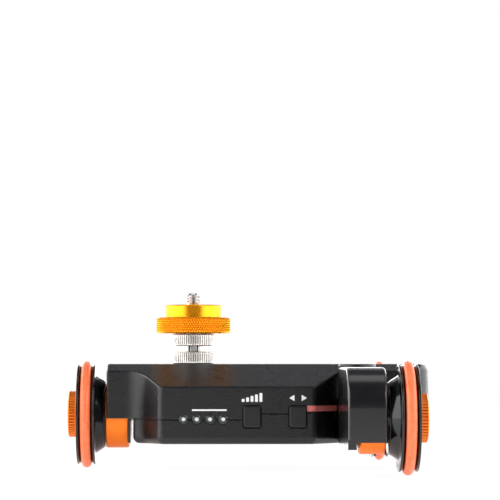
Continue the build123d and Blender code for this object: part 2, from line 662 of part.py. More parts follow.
def wheel_hub():
    """Black hub with a flared groove for the tyre, and a cone and narrow band on the inboard side."""
    rim = FLANGE_EDGE
    profile = [
        (AXLE_RADIUS, -HUB_END),
        (CONE_END_RADIUS, -HUB_END),
        (CONE_END_RADIUS, -CONE_END),
        (CONE_START_RADIUS, -FLANGE_FACE),
        (FLANGE_RADIUS - rim, -FLANGE_FACE),
        (FLANGE_RADIUS, -FLANGE_FACE + rim),
        (FLANGE_RADIUS, FLANGE_FACE - rim),
        (FLANGE_RADIUS - rim, FLANGE_FACE),
        (KNOB_RADIUS + 6.0, FLANGE_FACE),
        (KNOB_RADIUS + 4.8, FLANGE_FACE - 0.8),
        (KNOB_RADIUS + 0.6, FLANGE_FACE - 0.8),
        (KNOB_RADIUS, FLANGE_FACE),
        (AXLE_RADIUS, FLANGE_FACE),
    ]
    groove_floor = FLANGE_RADIUS - GROOVE_DEPTH
    groove_mouth = [
        (groove_floor, -GROOVE_FLOOR_HALF_WIDTH),
        (FLANGE_RADIUS, -GROOVE_MOUTH_HALF_WIDTH),
        (FLANGE_RADIUS + 1, -GROOVE_MOUTH_HALF_WIDTH),
        (FLANGE_RADIUS + 1, GROOVE_MOUTH_HALF_WIDTH),
        (FLANGE_RADIUS, GROOVE_MOUTH_HALF_WIDTH),
        (groove_floor, GROOVE_FLOOR_HALF_WIDTH),
    ]
    return turned(profile, 0) - turned(groove_mouth, 0) - Torus(TYRE_RING_RADIUS, TYRE_CORD_RADIUS)


def wheel_tyre():
    """Round cord ring that sits in the hub's groove."""
    return Torus(TYRE_RING_RADIUS, TYRE_CORD_RADIUS)


def wheel_knob():
    """Orange nut that clamps the hub on its axle, with a blind hole for the axle's thread."""
    knob = rod_z(KNOB_RADIUS, (KNOB_START, KNOB_END))
    knob = chamfer(top_rim(knob), KNOB_EDGE)
    return knob - rod_z(AXLE_RADIUS, (KNOB_START - 1, AXLE_THREAD_END))


def wheel_axle(inner_u):
    """Plain axle from inside its bearings to the knob, with a shoulder against the hub."""
    step, thickness = AXLE_SHOULDER
    shoulder = rod_z(AXLE_RADIUS + step, (-HUB_END - thickness, -HUB_END))
    return rod_z(AXLE_RADIUS, (inner_u, AXLE_THREAD_END)) + shoulder


# ---------------------------------------------------------------- swinging arms, drawn on the rear side
def arm_blank():
    """The arm's plain outer form: a long box with a quarter-round top at its outer end."""
    x, arc_y, end_y = ARM_X[0], IDLER_WHEEL_Y, IDLER_WHEEL_Y + ARM_END_RADIUS
    arc_z = ARM_TOP - ARM_END_RADIUS
    reach = ARM_END_RADIUS * math.sqrt(0.5)
    outline = [
        Polyline(
            (x, arc_y, ARM_TOP),
            (x, PIVOT_Y, ARM_TOP),
            (x, PIVOT_Y, ARM_BOTTOM),
            (x, end_y, ARM_BOTTOM),
            (x, end_y, arc_z),
        ),
        ThreePointArc((x, end_y, arc_z), (x, arc_y + reach, arc_z + reach), (x, arc_y, ARM_TOP)),
    ]
    blank = extrude(make_face(Curve() + outline), ARM_X[1] - ARM_X[0], dir=(1, 0, 0))
    return fillet(blank.edges().filter_by(is_arm_crown_edge), ARM_CROWN_RADIUS)


def arm_housing():
    """Box-shaped arm: rounded outer end, hub between the lugs, seat for the bearing housing."""
    arm = arm_blank()
    skirt_y = (PIVOT_Y + 12, IDLER_WHEEL_Y + ARM_END_RADIUS)
    arm += block((ARM_X[0], ARM_X[0] + ARM_SKIRT_WIDTH), skirt_y, (ARM_SKIRT_BOTTOM, ARM_BOTTOM + 1))
    for z in ((0, HUB_Z[0]), (HUB_Z[1], BODY_TOP + 1)):
        arm -= rod_z(LUG_RADIUS + LUG_CLEARANCE, z, ARM_MID_X, PIVOT_Y)
    arm += rod_z(ARM_HALF_WIDTH, HUB_Z, ARM_MID_X, PIVOT_Y)
    arm -= rod_z(BUSH_RADIUS, (HUB_Z[0] - 1, HUB_Z[1] + 1), ARM_MID_X, PIVOT_Y)
    arm -= rod_x(BLOCK_RADIUS, (ARM_BLOCK_X[0], ARM_X[1] + 1), IDLER_WHEEL_Y)
    arm -= rod_x(CLIP_ROOM_RADIUS, (CLIP_X[0] - 0.6, ARM_BLOCK_X[0] + 1), IDLER_WHEEL_Y)
    arm -= block((ARM_X[0] + ARM_SKIRT_WIDTH, ARM_X[1] + 1), skirt_y, (0, ARM_BOTTOM))
    arm -= block(ARM_ROOM_X, ARM_ROOM_Y, (ARM_BOTTOM - 1, ARM_TOP - 2.4))
    arm -= cover_blank()
    for y in COVER_SCREW_Y:
        arm -= rod_z(COVER_SCREW_RADIUS, (ARM_BOTTOM, ARM_BOTTOM + 6.5), ARM_MID_X, y)
    return arm


def is_arm_crown_edge(edge):
    """True for the long edges of the arm's two sides along its top and rounded end."""
    on_side = abs(abs(edge.center().X - ARM_MID_X) - ARM_HALF_WIDTH) < 0.01
    box = edge.bounding_box()
    flat_bottom = box.max.Z < ARM_BOTTOM + 0.1
    inner_end = box.max.Y < PIVOT_Y + 0.1
    return on_side and not flat_bottom and not inner_end


def cover_blank():
    """The plain outline of the plate that closes the arm's underside."""
    return block(COVER_X, COVER_Y, (ARM_BOTTOM, ARM_BOTTOM + COVER_THICKNESS))


def arm_cover():
    """Plate under the arm with two screw holes."""
    cover = cover_blank()
    for y in COVER_SCREW_Y:
        cover -= rod_z(COVER_SCREW_RADIUS, (ARM_BOTTOM - 1, ARM_BOTTOM + COVER_THICKNESS + 1), ARM_MID_X, y)
        cover -= rod_z(COVER_SCREW_HEAD_RADIUS, (ARM_BOTTOM - 1, ARM_BOTTOM + 0.6), ARM_MID_X, y)
    return cover


def arm_cover_screws():
    """The two flat-headed screws of the arm's cover."""
    return [
        rod_z(COVER_SCREW_RADIUS, (ARM_BOTTOM + 0.1, ARM_BOTTOM + 6.0), ARM_MID_X, y)
        + rod_z(COVER_SCREW_HEAD_RADIUS, (ARM_BOTTOM + 0.1, ARM_BOTTOM + 0.6), ARM_MID_X, y)
        for y in COVER_SCREW_Y
    ]


def arm_bush():
    """Plain bearing in the arm's hub that turns on the pivot bolt."""
    tube = rod_z(BUSH_RADIUS, HUB_Z, ARM_MID_X, PIVOT_Y)
    return tube - rod_z(PIVOT_RADIUS + RUNNING_GAP, (HUB_Z[0] - 1, HUB_Z[1] + 1), ARM_MID_X, PIVOT_Y)


def pivot_bolt():
    """Shoulder bolt from below through the lower lug, the arm's bush and the upper lug."""
    head_bottom = BOLT_HEAD_TOP - BOLT_HEAD_HEIGHT
    head = rod_z(BOLT_HEAD_RADIUS, (head_bottom, BOLT_HEAD_TOP), ARM_MID_X, PIVOT_Y)
    head -= extrude(Pos(ARM_MID_X, PIVOT_Y, head_bottom) * RegularPolygon(2.3, 6), 1.4)
    return head + rod_z(PIVOT_RADIUS, (BOLT_HEAD_TOP, BOLT_TOP), ARM_MID_X, PIVOT_Y)


def set_screw_hole(y):
    """Threaded hole up into the underside of an idler's bearing housing."""
    return rod_z(SET_SCREW_RADIUS, (0, SET_SCREW_Z[1]), SET_SCREW_X, y)


def set_screw(y):
    """Small hollow-headed screw that stands a little out of the housing's underside."""
    screw = rod_z(SET_SCREW_RADIUS, SET_SCREW_Z, SET_SCREW_X, y)
    return screw - extrude(Pos(SET_SCREW_X, y, SET_SCREW_Z[0]) * RegularPolygon(0.8, 6), 1.2)


def axle_clip():
    """Spring ring on the inner end of an idler axle."""
    through = (CLIP_X[0] - 1, CLIP_X[1] + 1)
    ring = rod_x(AXLE_RADIUS + 1.5, CLIP_X, IDLER_WHEEL_Y) - rod_x(AXLE_RADIUS, through, IDLER_WHEEL_Y)
    return ring - block(through, (IDLER_WHEEL_Y - 1.2, IDLER_WHEEL_Y + 1.2), (0, AXLE_Z))


# ---------------------------------------------------------------- camera mount
def threaded_insert():
    """Brass insert under the top wall that the camera stud screws into."""
    ceiling = BODY_TOP - WALL
    sleeve = rod_z(INSERT_RADIUS, (STUD_Z[0], BODY_TOP), MOUNT_X)
    flange = rod_z(INSERT_FLANGE_RADIUS, (ceiling - INSERT_FLANGE_THICKNESS, ceiling), MOUNT_X)
    return sleeve + flange - rod_z(SHANK_RADIUS, (STUD_Z[0] - 1, BODY_TOP + 1), MOUNT_X)


def camera_spigot():
    """Bright column: a slotted groove between two bands, and a finger scallop with a hole at its -X side."""
    edge = MOUNT_EDGE
    waist = SPIGOT_RADIUS - SPIGOT_GROOVE_DEPTH
    column = turned(
        [
            (SHANK_RADIUS, BODY_TOP),
            (SPIGOT_RADIUS - edge, BODY_TOP),
            (SPIGOT_RADIUS, BODY_TOP + edge),
            (SPIGOT_RADIUS, SPIGOT_GROOVE[0]),
            (waist, SPIGOT_GROOVE[0]),
            (waist, SPIGOT_GROOVE[1]),
            (SPIGOT_RADIUS, SPIGOT_GROOVE[1]),
            (SPIGOT_RADIUS, SPIGOT_TOP - edge),
            (SPIGOT_RADIUS - edge, SPIGOT_TOP),
            (SHANK_RADIUS, SPIGOT_TOP),
        ],
        MOUNT_X,
    )
    half_slot = SPIGOT_SLOT_WIDTH / 2
    slot = block((waist - SPIGOT_SLOT_DEPTH, SPIGOT_RADIUS + PAST), (-half_slot, half_slot), SPIGOT_GROOVE)
    for turn in (-90, 0, 90):
        column -= Pos(MOUNT_X, 0, 0) * Rot(0, 0, turn) * slot
    groove_z = sum(SPIGOT_GROOVE) / 2
    scallop_x = MOUNT_X - SPIGOT_RADIUS + SCALLOP_DEPTH - SCALLOP_RADIUS
    column -= Pos(scallop_x, 0, groove_z) * Sphere(SCALLOP_RADIUS)
    return column - rod_x(SCALLOP_HOLE_RADIUS, (scallop_x, MOUNT_X - SHANK_RADIUS - 1), 0, groove_z)


def camera_stud():
    """Quarter-inch stud above the lock disc, on a slimmer shank that goes down to the insert."""
    stud = rod_z(STUD_RADIUS, (STUD_THREAD_START, STUD_Z[1]), MOUNT_X)
    stud = chamfer(top_rim(stud), MOUNT_EDGE)
    return stud + rod_z(SHANK_RADIUS, (STUD_Z[0], STUD_THREAD_START), MOUNT_X)


def lock_disc():
    """Orange-gold disc with a plain boss that the camera's base rests on."""
    edge = MOUNT_EDGE
    bore = SHANK_RADIUS + RUNNING_GAP
    return turned(
        [
            (bore, DISC_Z[0]),
            (DISC_RADIUS - edge, DISC_Z[0]),
            (DISC_RADIUS, DISC_Z[0] + edge),
            (DISC_RADIUS, DISC_Z[1] - edge),
            (DISC_RADIUS - edge, DISC_Z[1]),
            (BOSS_RADIUS, DISC_Z[1]),
            (BOSS_RADIUS, BOSS_TOP - edge),
            (BOSS_RADIUS - edge, BOSS_TOP),
            (bore + edge, BOSS_TOP),
            (bore, BOSS_TOP - edge),
        ],
        MOUNT_X,
    )


# ---------------------------------------------------------------- the whole assembly
def chassis_parts():
    """Nodes of the body and everything fixed to it."""
    bolt = front_and_rear(pivot_bolt())
    return {
        "upper_shell": upper_shell(),
        "lower_shell": lower_shell(),
        "case_screws": case_screws(),
        "ir_window": ir_window(),
        "status_leds": status_leds(),
        "tact_switches": tact_switches(),
        "circuit_board": circuit_board(),
        "charging_socket": charging_socket(),
        "power_switch_case": power_switch_case(),
        "battery_cell": battery_cell(),
        "battery_cradle": cradle(BATTERY_CRADLE_X, 8.0, 0, BATTERY_Z, BATTERY_RADIUS),
        "gear_motor": gear_motor(),
        "motor_cradle": cradle(MOTOR_CRADLE_X, 7.0, MOTOR_Y, MOTOR_Z, MOTOR_RADIUS),
        "drive_bearing_block": drive_bearing_block(),
        "drive_bearings": bearings(DRIVE_BLOCK_X),
        "drive_side_plate": drive_side_plate(),
        "side_plate_screws": side_plate_screws(),
        "pivot_bolts": list(bolt.values()),
        "threaded_insert": threaded_insert(),
        "camera_spigot": camera_spigot(),
        "camera_stud": camera_stud(),
    }


def drive_parts():
    """Nodes of the driven wheel, its gear and the motor's rotor."""
    place = wheel_place(DRIVE_WHEEL_X, 0, -1)
    drive_gear, motor_pinion = gear_pair()
    return {
        "drive_wheel_hub": place * wheel_hub(),
        "drive_tyre": place * wheel_tyre(),
        "drive_wheel_knob": place * wheel_knob(),
        "drive_axle": place * wheel_axle(DRIVE_WHEEL_X - GEAR_X[1] - AXLE_END),
        "drive_gear": drive_gear,
        "motor_pinion": motor_pinion,
        "motor_shaft": motor_shaft(),
    }


def arm_parts():
    """Nodes of the front and rear arms and of the idler wheels that they carry."""
    place = wheel_place(IDLER_WHEEL_X, IDLER_WHEEL_Y, 1)
    axle_inner = CLIP_X[0] - AXLE_END - IDLER_WHEEL_X
    rear_side = {
        "arm_housing": arm_housing(),
        "arm_cover": arm_cover(),
        "arm_cover_screws": Compound(children=arm_cover_screws()),
        "arm_bush": arm_bush(),
        "bearing_block": bearing_block(ARM_BLOCK_X, IDLER_WHEEL_Y, drilled=True),
        "axle_bearings": Compound(children=bearings(ARM_BLOCK_X, IDLER_WHEEL_Y)),
        "set_screw": set_screw(IDLER_WHEEL_Y),
        "wheel_hub": place * wheel_hub(),
        "tyre": place * wheel_tyre(),
        "wheel_knob": place * wheel_knob(),
        "wheel_axle": place * wheel_axle(axle_inner),
        "axle_clip": axle_clip(),
    }
    nodes = {}
    for name, shape in rear_side.items():
        for side, sided_shape in front_and_rear(shape).items():
            nodes[f"{side}_{name}"] = sided_shape
    return nodes


def control_parts():
    """Nodes of the pieces that a hand moves."""
    nodes = {name: push_button(x) for name, x in BUTTON_X.items()}
    nodes["power_switch_knob"] = power_switch_knob()
    nodes["lock_disc"] = lock_disc()
    return nodes


def main():
    """Write one STEP file for each node."""
    os.makedirs("parts", exist_ok=True)
    nodes = chassis_parts() | drive_parts() | arm_parts() | control_parts()
    for name, shape in nodes.items():
        if isinstance(shape, list):
            shape = Compound(children=shape)
        export_step(shape, f"parts/{name}.step")


main()
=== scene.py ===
import json
import math

import bmesh
import bpy
from mathutils import Matrix, Vector


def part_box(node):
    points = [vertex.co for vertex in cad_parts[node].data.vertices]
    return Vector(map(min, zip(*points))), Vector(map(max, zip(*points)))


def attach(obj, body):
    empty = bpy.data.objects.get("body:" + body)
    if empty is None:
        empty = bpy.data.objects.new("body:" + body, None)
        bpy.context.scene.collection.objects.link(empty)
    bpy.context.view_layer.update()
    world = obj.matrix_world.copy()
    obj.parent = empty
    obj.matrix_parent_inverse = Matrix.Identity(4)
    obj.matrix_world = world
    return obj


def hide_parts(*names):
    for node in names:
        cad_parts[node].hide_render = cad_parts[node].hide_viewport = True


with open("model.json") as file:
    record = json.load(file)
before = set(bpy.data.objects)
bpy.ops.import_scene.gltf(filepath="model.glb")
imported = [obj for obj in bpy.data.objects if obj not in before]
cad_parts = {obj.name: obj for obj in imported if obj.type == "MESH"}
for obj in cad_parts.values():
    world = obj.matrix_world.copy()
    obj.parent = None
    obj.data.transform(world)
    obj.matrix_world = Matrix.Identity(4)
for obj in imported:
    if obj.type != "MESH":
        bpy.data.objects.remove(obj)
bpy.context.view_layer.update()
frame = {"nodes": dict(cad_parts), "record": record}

# Looks of the motorised three-wheel camera dolly. Lengths are written in millimetres and
# turned into metres by MM. The frame's X runs from the drive wheel to the arms, -Y is the
# button face, and +Z is up.
MM = 0.001

# Camera: a long lens at the height of the body's top, as far back as the front view needs.
CAMERA_PLACE = Vector((-21.95, -1074.3, 47.0)) * MM
CAMERA_LENS = 170.64
CAMERA_YAW = math.atan(0.0211)
CAMERA_PITCH = math.atan(0.0477)

# Wheel details
TYRE_CORD = 2.25
TYRE_SEAM_HEIGHT = 0.03
TYRE_COLUMNS = 192
CORD_COLUMNS = 28
FLANGE_FACE = 4.1
FLANGE_ROUND = 0.5
DISH_FACE = 3.3
DISH_RADII = (11.0, 11.6, 15.2, 16.0)  # where the dished ring's inner and outer slopes start and end
HUB_INNER_FACE = 8.5
CONE_PROFILE = (  # radius, distance inboard of the tyre's middle
    (17.9, FLANGE_FACE),
    (17.5, 4.4),
    (15.3, 7.9),
    (15.0, 8.1),
    (15.0, HUB_INNER_FACE),
)
GROOVE_STEPS = 22
HUB_COLUMNS = 160
GROOVE_PLAY = 0.05
GROOVE_MOUTH_HALF_WIDTH = 3.2
GROOVE_FLARE_DEPTH = 1.6
KNOB_TEETH = 46
KNOB_KNURL_DEPTH = 0.6
KNOB_DISH = ((0, 1.3), (1.6, 0.75), (3.4, 0.75), (4.0, 0))  # radius, depth below the outer face
KNOB_CHAMFER = 0.7
COLUMNS_PER_TOOTH = 6
KNURL_ROWS = 6

# Camera post details
END_STEP = 0.15  # how much smaller the radius is just beside a knurled band
SPIGOT_TEETH = 56
SPIGOT_KNURL_DEPTH = 0.6
SPIGOT_GROOVE = (52.0, 54.8)
SPIGOT_GROOVE_DEPTH = 1.1
SPIGOT_CHAMFER = 0.5
SPIGOT_KNURL_MARGINS = (0.5, 0.25, 0.4)  # above the bottom, beside the groove, below the top
SPIGOT_SLOT_WIDTH = 4.4
SPIGOT_SLOT_DEPTH = 2.0
SPIGOT_SLOT_TURNS = (-90, 0, 90)
CUT_PAST = 3.0  # how far a cutting form reaches past what it cuts
SLOT_SERRATION = 0.35
SCALLOP_RADIUS = 5.05
SCALLOP_DEPTH = 1.9
SCALLOP_HOLE_RADIUS = 1.3
SCALLOP_HOLE_DEPTH = 2.5
SHANK_RADIUS = 3.0
POST_BORE = 3.05
DISC_RADIUS = 16.7
DISC_UNDERCUT_RADII = (10.0, 10.2)
DISC_UNDERCUT = 0.3
DISC_TEETH = 92
DISC_KNURL_DEPTH = 0.7
DISC_KNURL_ANGLE = 30.0
DISC_KNURL_SHARPNESS = 2.4
DISC_KNURL_ROWS = 34
DISC_CHAMFER = 0.7
DISC_KNURL_MARGIN = 0.45
THREAD_PITCH = 1.27
THREAD_DEPTH = 0.62
THREAD_START = 73.7
THREAD_POINT = 0.9
THREAD_RUN_OUT = 0.3
THREAD_ROWS_PER_TURN = 10
DISC_THICKNESS = 7.3
BOSS_RADIUS = 13.3
BOSS_LIP = 0.5
BOSS_SINK_RADII = (6.0, 5.4)

# Lamps
LAMP_COUNT = 4
LENS_RADIUS = 2.18
LENS_DOME = 1.3
LENS_RAISE = 0.05
LENS_BACK = -1.9
CORE_RADIUS = 0.7
CORE_HEIGHTS = (-1.2, 0.75)

# Printed marks on the front wall
INK_THICKNESS = 0.06
INK_DEPTH = 0.02  # how far the ink reaches into the wall
LINE_HEIGHT = 0.7
LINE_ABOVE_LAMPS = 3.65
LINE_PAST_LAMP = 2.1  # how far the line starts left of the second lamp's middle
LINE_EXTRA = 3.6  # how much wider the line is than the span from the second lamp to the fourth
BAR_COUNT = 5
BARS_LEFT = 4.6
BAR_WIDTH = 1.25
BAR_SPACING = 1.95
BAR_HEIGHTS = (1.3, 0.65)  # the first bar's height, and how much each next one adds
BARS_ABOVE_BUTTON = 6.5
ARROWS_ABOVE_BUTTON = 8.2
ARROW_TIP = 3.9
ARROW_BASE = 1.55
ARROW_HALF_HEIGHT = 1.4

# Studio, in metres. Each light: name, place, size across and upright, brightness. A paired light stands
# at both sides, and its place is given for the right one.
LIGHT_TARGET = (0, 0, 0.03)
SINGLE_LIGHTS = (
    ("top", (0, 0, 1.4), (1.2, 0.6), 1.3),
    ("low_back", (0, 1.25, 0.2), (2.0, 0.34), 4.0),
    ("back", (0, 1.3, 0.475), (2.4, 0.95), 0.75),
)
PAIRED_LIGHTS = (
    ("side", (1.15, 0.6, 0.5), (1.4, 1.1), 2.4),
    ("front", (1.2, -0.7, 0.6), (1.5, 1.3), 3.0),
    ("strip", (1.0, 0.05, 0.4), (0.3, 0.8), 2.6),
)
FLOOR_RADIUS = 3.0
FLOOR_DROP = 0.0002
FLOOR_FADE = (0.5, 1.6)
FLOOR_VEIL = 0.9
FLOOR_GLOW = 0.4
WORLD_STRENGTH = 0.14


# ---------------------------------------------------------------- shader helpers
class Shader:
    """One material's node tree, with short calls for the nodes that the looks here use."""

    def __init__(self, name):
        self.material = bpy.data.materials.new(name)
        self.material.use_nodes = True
        self.nodes = self.material.node_tree.nodes
        self.links = self.material.node_tree.links
        self.surface = self.nodes["Principled BSDF"]
        self.place = self.nodes.new("ShaderNodeTexCoord").outputs["Object"]
        self.height = None

    def set(self, **values):
        """Plain values on the surface's own sockets; underscores stand for spaces."""
        for socket, value in values.items():
            self.surface.inputs[socket.replace("_", " ")].default_value = value
        return self

    def stretched(self, scale):
        """Object coordinates multiplied by a scale for each axis."""
        mapping = self.nodes.new("ShaderNodeMapping")
        mapping.inputs["Scale"].default_value = scale
        self.links.new(self.place, mapping.inputs["Vector"])
        return mapping.outputs["Vector"]

    def noise(self, scale, detail, stretch=None):
        """Noise whose cells repeat about scale times in a metre."""
        texture = self.nodes.new("ShaderNodeTexNoise")
        texture.inputs["Scale"].default_value = scale
        texture.inputs["Detail"].default_value = detail
        self.links.new(self.stretched(stretch) if stretch else self.place, texture.inputs["Vector"])
        return texture.outputs["Fac"]

    def ramp(self, factor, low, high, start=0.3, end=0.7):
        """A smooth change between two colours, or between two grey values."""
        node = self.nodes.new("ShaderNodeValToRGB")
        stops = node.color_ramp.elements
        for stop, place, value in ((stops[0], start, low), (stops[1], end, high)):
            stop.position = place
            stop.color = value if isinstance(value, tuple) else (value, value, value, 1)
        self.links.new(factor, node.inputs["Fac"])
        return node.outputs["Color"]

    def colour(self, factor, low, high):
        """Drives the base colour between two colours."""
        self.links.new(self.ramp(factor, low + (1,), high + (1,)), self.surface.inputs["Base Color"])
        return self

    def roughness(self, factor, low, high):
        """Drives the roughness between two values."""
        self.links.new(self.ramp(factor, low, high), self.surface.inputs["Roughness"])
        return self

    def eased(self, radius_mm):
        """Shades sharp edges as if they were rounded by a small radius, so that they catch the light."""
        node = self.nodes.new("ShaderNodeBevel")
        node.samples = 8
        node.inputs["Radius"].default_value = radius_mm * MM
        self.height = node.outputs["Normal"]
        self.links.new(self.height, self.surface.inputs["Normal"])
        return self

    def painted_groove_shade(self, dark, start, end):
        """Darkens the base colour in narrow grooves: painted shade standing in for the light a knurl's
        grooves lose.
        """
        pointiness = self.nodes.new("ShaderNodeNewGeometry").outputs["Pointiness"]
        mix = self.nodes.new("ShaderNodeMix")
        mix.data_type = "RGBA"
        mix.blend_type = "MULTIPLY"
        mix.inputs["Factor"].default_value = 1.0
        base = self.surface.inputs["Base Color"]
        self.links.new(base.links[0].from_socket, mix.inputs["A"])
        self.links.new(self.ramp(pointiness, dark, 1.0, start, end), mix.inputs["B"])
        self.links.new(mix.outputs["Result"], base)
        return self

    def bump(self, factor, depth_mm, strength):
        """Adds a relief of about the given depth on top of any earlier one."""
        node = self.nodes.new("ShaderNodeBump")
        node.inputs["Strength"].default_value = strength
        node.inputs["Distance"].default_value = depth_mm * MM
        self.links.new(factor, node.inputs["Height"])
        if self.height:
            self.links.new(self.height, node.inputs["Normal"])
        self.height = node.outputs["Normal"]
        self.links.new(self.height, self.surface.inputs["Normal"])
        return self


def shell_plastic():
    """Black moulded plastic with a fine spark-eroded grain."""
    s = Shader("shell_black").set(IOR=1.5).eased(0.45)
    s.colour(s.noise(900, 4), (0.0022, 0.0021, 0.0030), (0.0045, 0.0043, 0.0056))
    s.roughness(s.noise(60, 3), 0.24, 0.31)
    return s.bump(s.noise(2100, 3), 0.14, 1.0).bump(s.noise(150, 2), 0.02, 0.3).material


def arm_paint():
    """Satin black paint, nearly smooth, with a faint orange-peel."""
    s = Shader("arm_black").set(IOR=1.52, Coat_Weight=0.4, Coat_Roughness=0.14).eased(0.3)
    s.colour(s.noise(300, 3), (0.0024, 0.0024, 0.0030), (0.0040, 0.0040, 0.0048))
    s.roughness(s.noise(90, 4), 0.22, 0.29)
    return s.bump(s.noise(700, 2), 0.015, 0.35).material


AXLE_LINES = (9000, 90, 90)
UPRIGHT_LINES = (90, 90, 9000)
# Pointiness range over which the painted shade in knurl grooves fades out.
KNURL_POINTINESS = (0.42, 0.50)


def turned_metal(name, low, high, metallic, rough, lines=AXLE_LINES, relief=0.012, groove_shade=None):
    """Metal with fine turning lines around one axis, and painted shade in its knurl grooves where it has
    them.
    """
    s = Shader(name).set(Metallic=metallic).eased(0.15)
    s.colour(s.noise(1, 3, lines), low, high)
    # Painted shade: the base colour is darkened in the knurl grooves, found by pointiness.
    if groove_shade is not None:
        s.painted_groove_shade(groove_shade, *KNURL_POINTINESS)
    s.roughness(s.noise(120, 3), rough[0], rough[1])
    return s.bump(s.noise(1, 2, lines), relief, 0.5).material


def tyre_rubber():
    """Smooth orange-red silicone cord, faintly translucent and slightly dusty."""
    s = Shader("tyre_orange").set(Subsurface_Weight=0.1, Subsurface_Scale=0.0012, IOR=1.43)
    s.surface.inputs["Subsurface Radius"].default_value = (1.0, 0.35, 0.2)
    s.colour(s.noise(500, 4), (0.86, 0.150, 0.050), (0.95, 0.200, 0.075))
    s.roughness(s.noise(250, 3), 0.26, 0.38)
    return s.bump(s.noise(1800, 2), 0.012, 0.4).material


def button_plastic():
    """Satin black plastic of the buttons and small controls."""
    s = Shader("button_black").set(IOR=1.5).eased(0.4)
    s.colour(s.noise(700, 3), (0.0030, 0.0029, 0.0038), (0.0050, 0.0048, 0.0060))
    s.roughness(s.noise(200, 3), 0.30, 0.38)
    return s.bump(s.noise(2200, 2), 0.03, 0.4).material


def lamp_glass():
    """Clear moulded lamp lens with slight moulding ripples."""
    s = Shader("lamp_clear").set(Transmission_Weight=1.0, IOR=1.45)
    s.colour(s.noise(300, 2), (0.80, 0.81, 0.83), (0.88, 0.89, 0.91))
    s.roughness(s.noise(400, 2), 0.02, 0.05)
    return s.bump(s.noise(900, 2), 0.01, 0.3).material


def lamp_core():
    """White moulded reflector inside a lamp, with a faint glow that paints in the bright highlight it
    catches.
    """
    # Painted highlight: the emission makes the reflector glow in place of the light it reflects.
    s = Shader("lamp_core").set(Emission_Color=(1, 0.99, 0.97, 1), Emission_Strength=0.35)
    s.colour(s.noise(1200, 2), (0.80, 0.80, 0.79), (0.92, 0.92, 0.91))
    s.roughness(s.noise(600, 2), 0.35, 0.5)
    return s.bump(s.noise(1500, 2), 0.01, 0.3).material


def window_plastic():
    """Dark red translucent plastic with a polished face."""
    s = Shader("window_red").set(Coat_Weight=0.5, Coat_Roughness=0.06, Transmission_Weight=0.15, IOR=1.5)
    s.colour(s.noise(120, 3), (0.78, 0.185, 0.158), (0.90, 0.230, 0.198))
    s.roughness(s.noise(300, 3), 0.25, 0.36)
    return s.bump(s.noise(800, 2), 0.012, 0.3).material


def white_ink():
    """Screen-printed white ink, slightly uneven in cover."""
    s = Shader("white_ink").set(IOR=1.45)
    s.colour(s.noise(2500, 4), (0.78, 0.78, 0.77), (0.93, 0.93, 0.92))
    s.roughness(s.noise(900, 2), 0.45, 0.6)
    return s.bump(s.noise(3000, 3), 0.01, 0.5).material


def board_mask():
    """Green solder mask with a slight weave under it."""
    s = Shader("board_green").set(IOR=1.5, Coat_Weight=0.3, Coat_Roughness=0.15)
    s.colour(s.noise(1, 3, (1500, 200, 1500)), (0.01, 0.09, 0.035), (0.02, 0.14, 0.06))
    s.roughness(s.noise(300, 2), 0.3, 0.42)
    return s.bump(s.noise(1, 2, (1800, 200, 1800)), 0.01, 0.4).material


def cell_wrap():
    """Blue shrink wrap with faint wrinkles along the cell."""
    s = Shader("cell_wrap").set(IOR=1.5, Coat_Weight=0.4, Coat_Roughness=0.1)
    s.colour(s.noise(1, 3, (20, 300, 300)), (0.012, 0.05, 0.22), (0.02, 0.08, 0.30))
    s.roughness(s.noise(200, 2), 0.2, 0.32)
    return s.bump(s.noise(1, 2, (25, 400, 400)), 0.03, 0.4).material


ORANGE_LOW = (0.92, 0.190, 0.010)
ORANGE_HIGH = (0.99, 0.245, 0.018)
GOLD_LOW = (0.98, 0.35, 0.006)
GOLD_HIGH = (1.0, 0.42, 0.009)
NICKEL_LOW = (0.60, 0.575, 0.545)
NICKEL_HIGH = (0.70, 0.675, 0.645)

MATERIALS = {
    "shell_black": shell_plastic(),
    "arm_black": arm_paint(),
    "wheel_black": turned_metal(
        "wheel_black", (0.0026, 0.0027, 0.0032), (0.0045, 0.0047, 0.0053), 0.0, (0.09, 0.17)
    ),
    "orange_anodised": turned_metal(
        "orange_anodised", ORANGE_LOW, ORANGE_HIGH, 0.6, (0.38, 0.48), groove_shade=0.5
    ),
    "gold_anodised": turned_metal(
        "gold_anodised", GOLD_LOW, GOLD_HIGH, 0.8, (0.22, 0.32), UPRIGHT_LINES, groove_shade=0.75
    ),
    "tyre_orange": tyre_rubber(),
    "bright_nickel": turned_metal(
        "bright_nickel",
        NICKEL_LOW,
        NICKEL_HIGH,
        1.0,
        (0.24, 0.34),
        UPRIGHT_LINES,
        relief=0.006,
        groove_shade=0.03,
    ),
    "steel": turned_metal("steel", (0.50, 0.50, 0.51), (0.62, 0.62, 0.63), 1.0, (0.24, 0.36)),
    "brass": turned_metal("brass", (0.62, 0.44, 0.18), (0.74, 0.55, 0.26), 1.0, (0.26, 0.38)),
    "button_black": button_plastic(),
    "lamp_clear": lamp_glass(),
    "lamp_core": lamp_core(),
    "window_red": window_plastic(),
    "white_ink": white_ink(),
    "board_green": board_mask(),
    "cell_wrap": cell_wrap(),
}


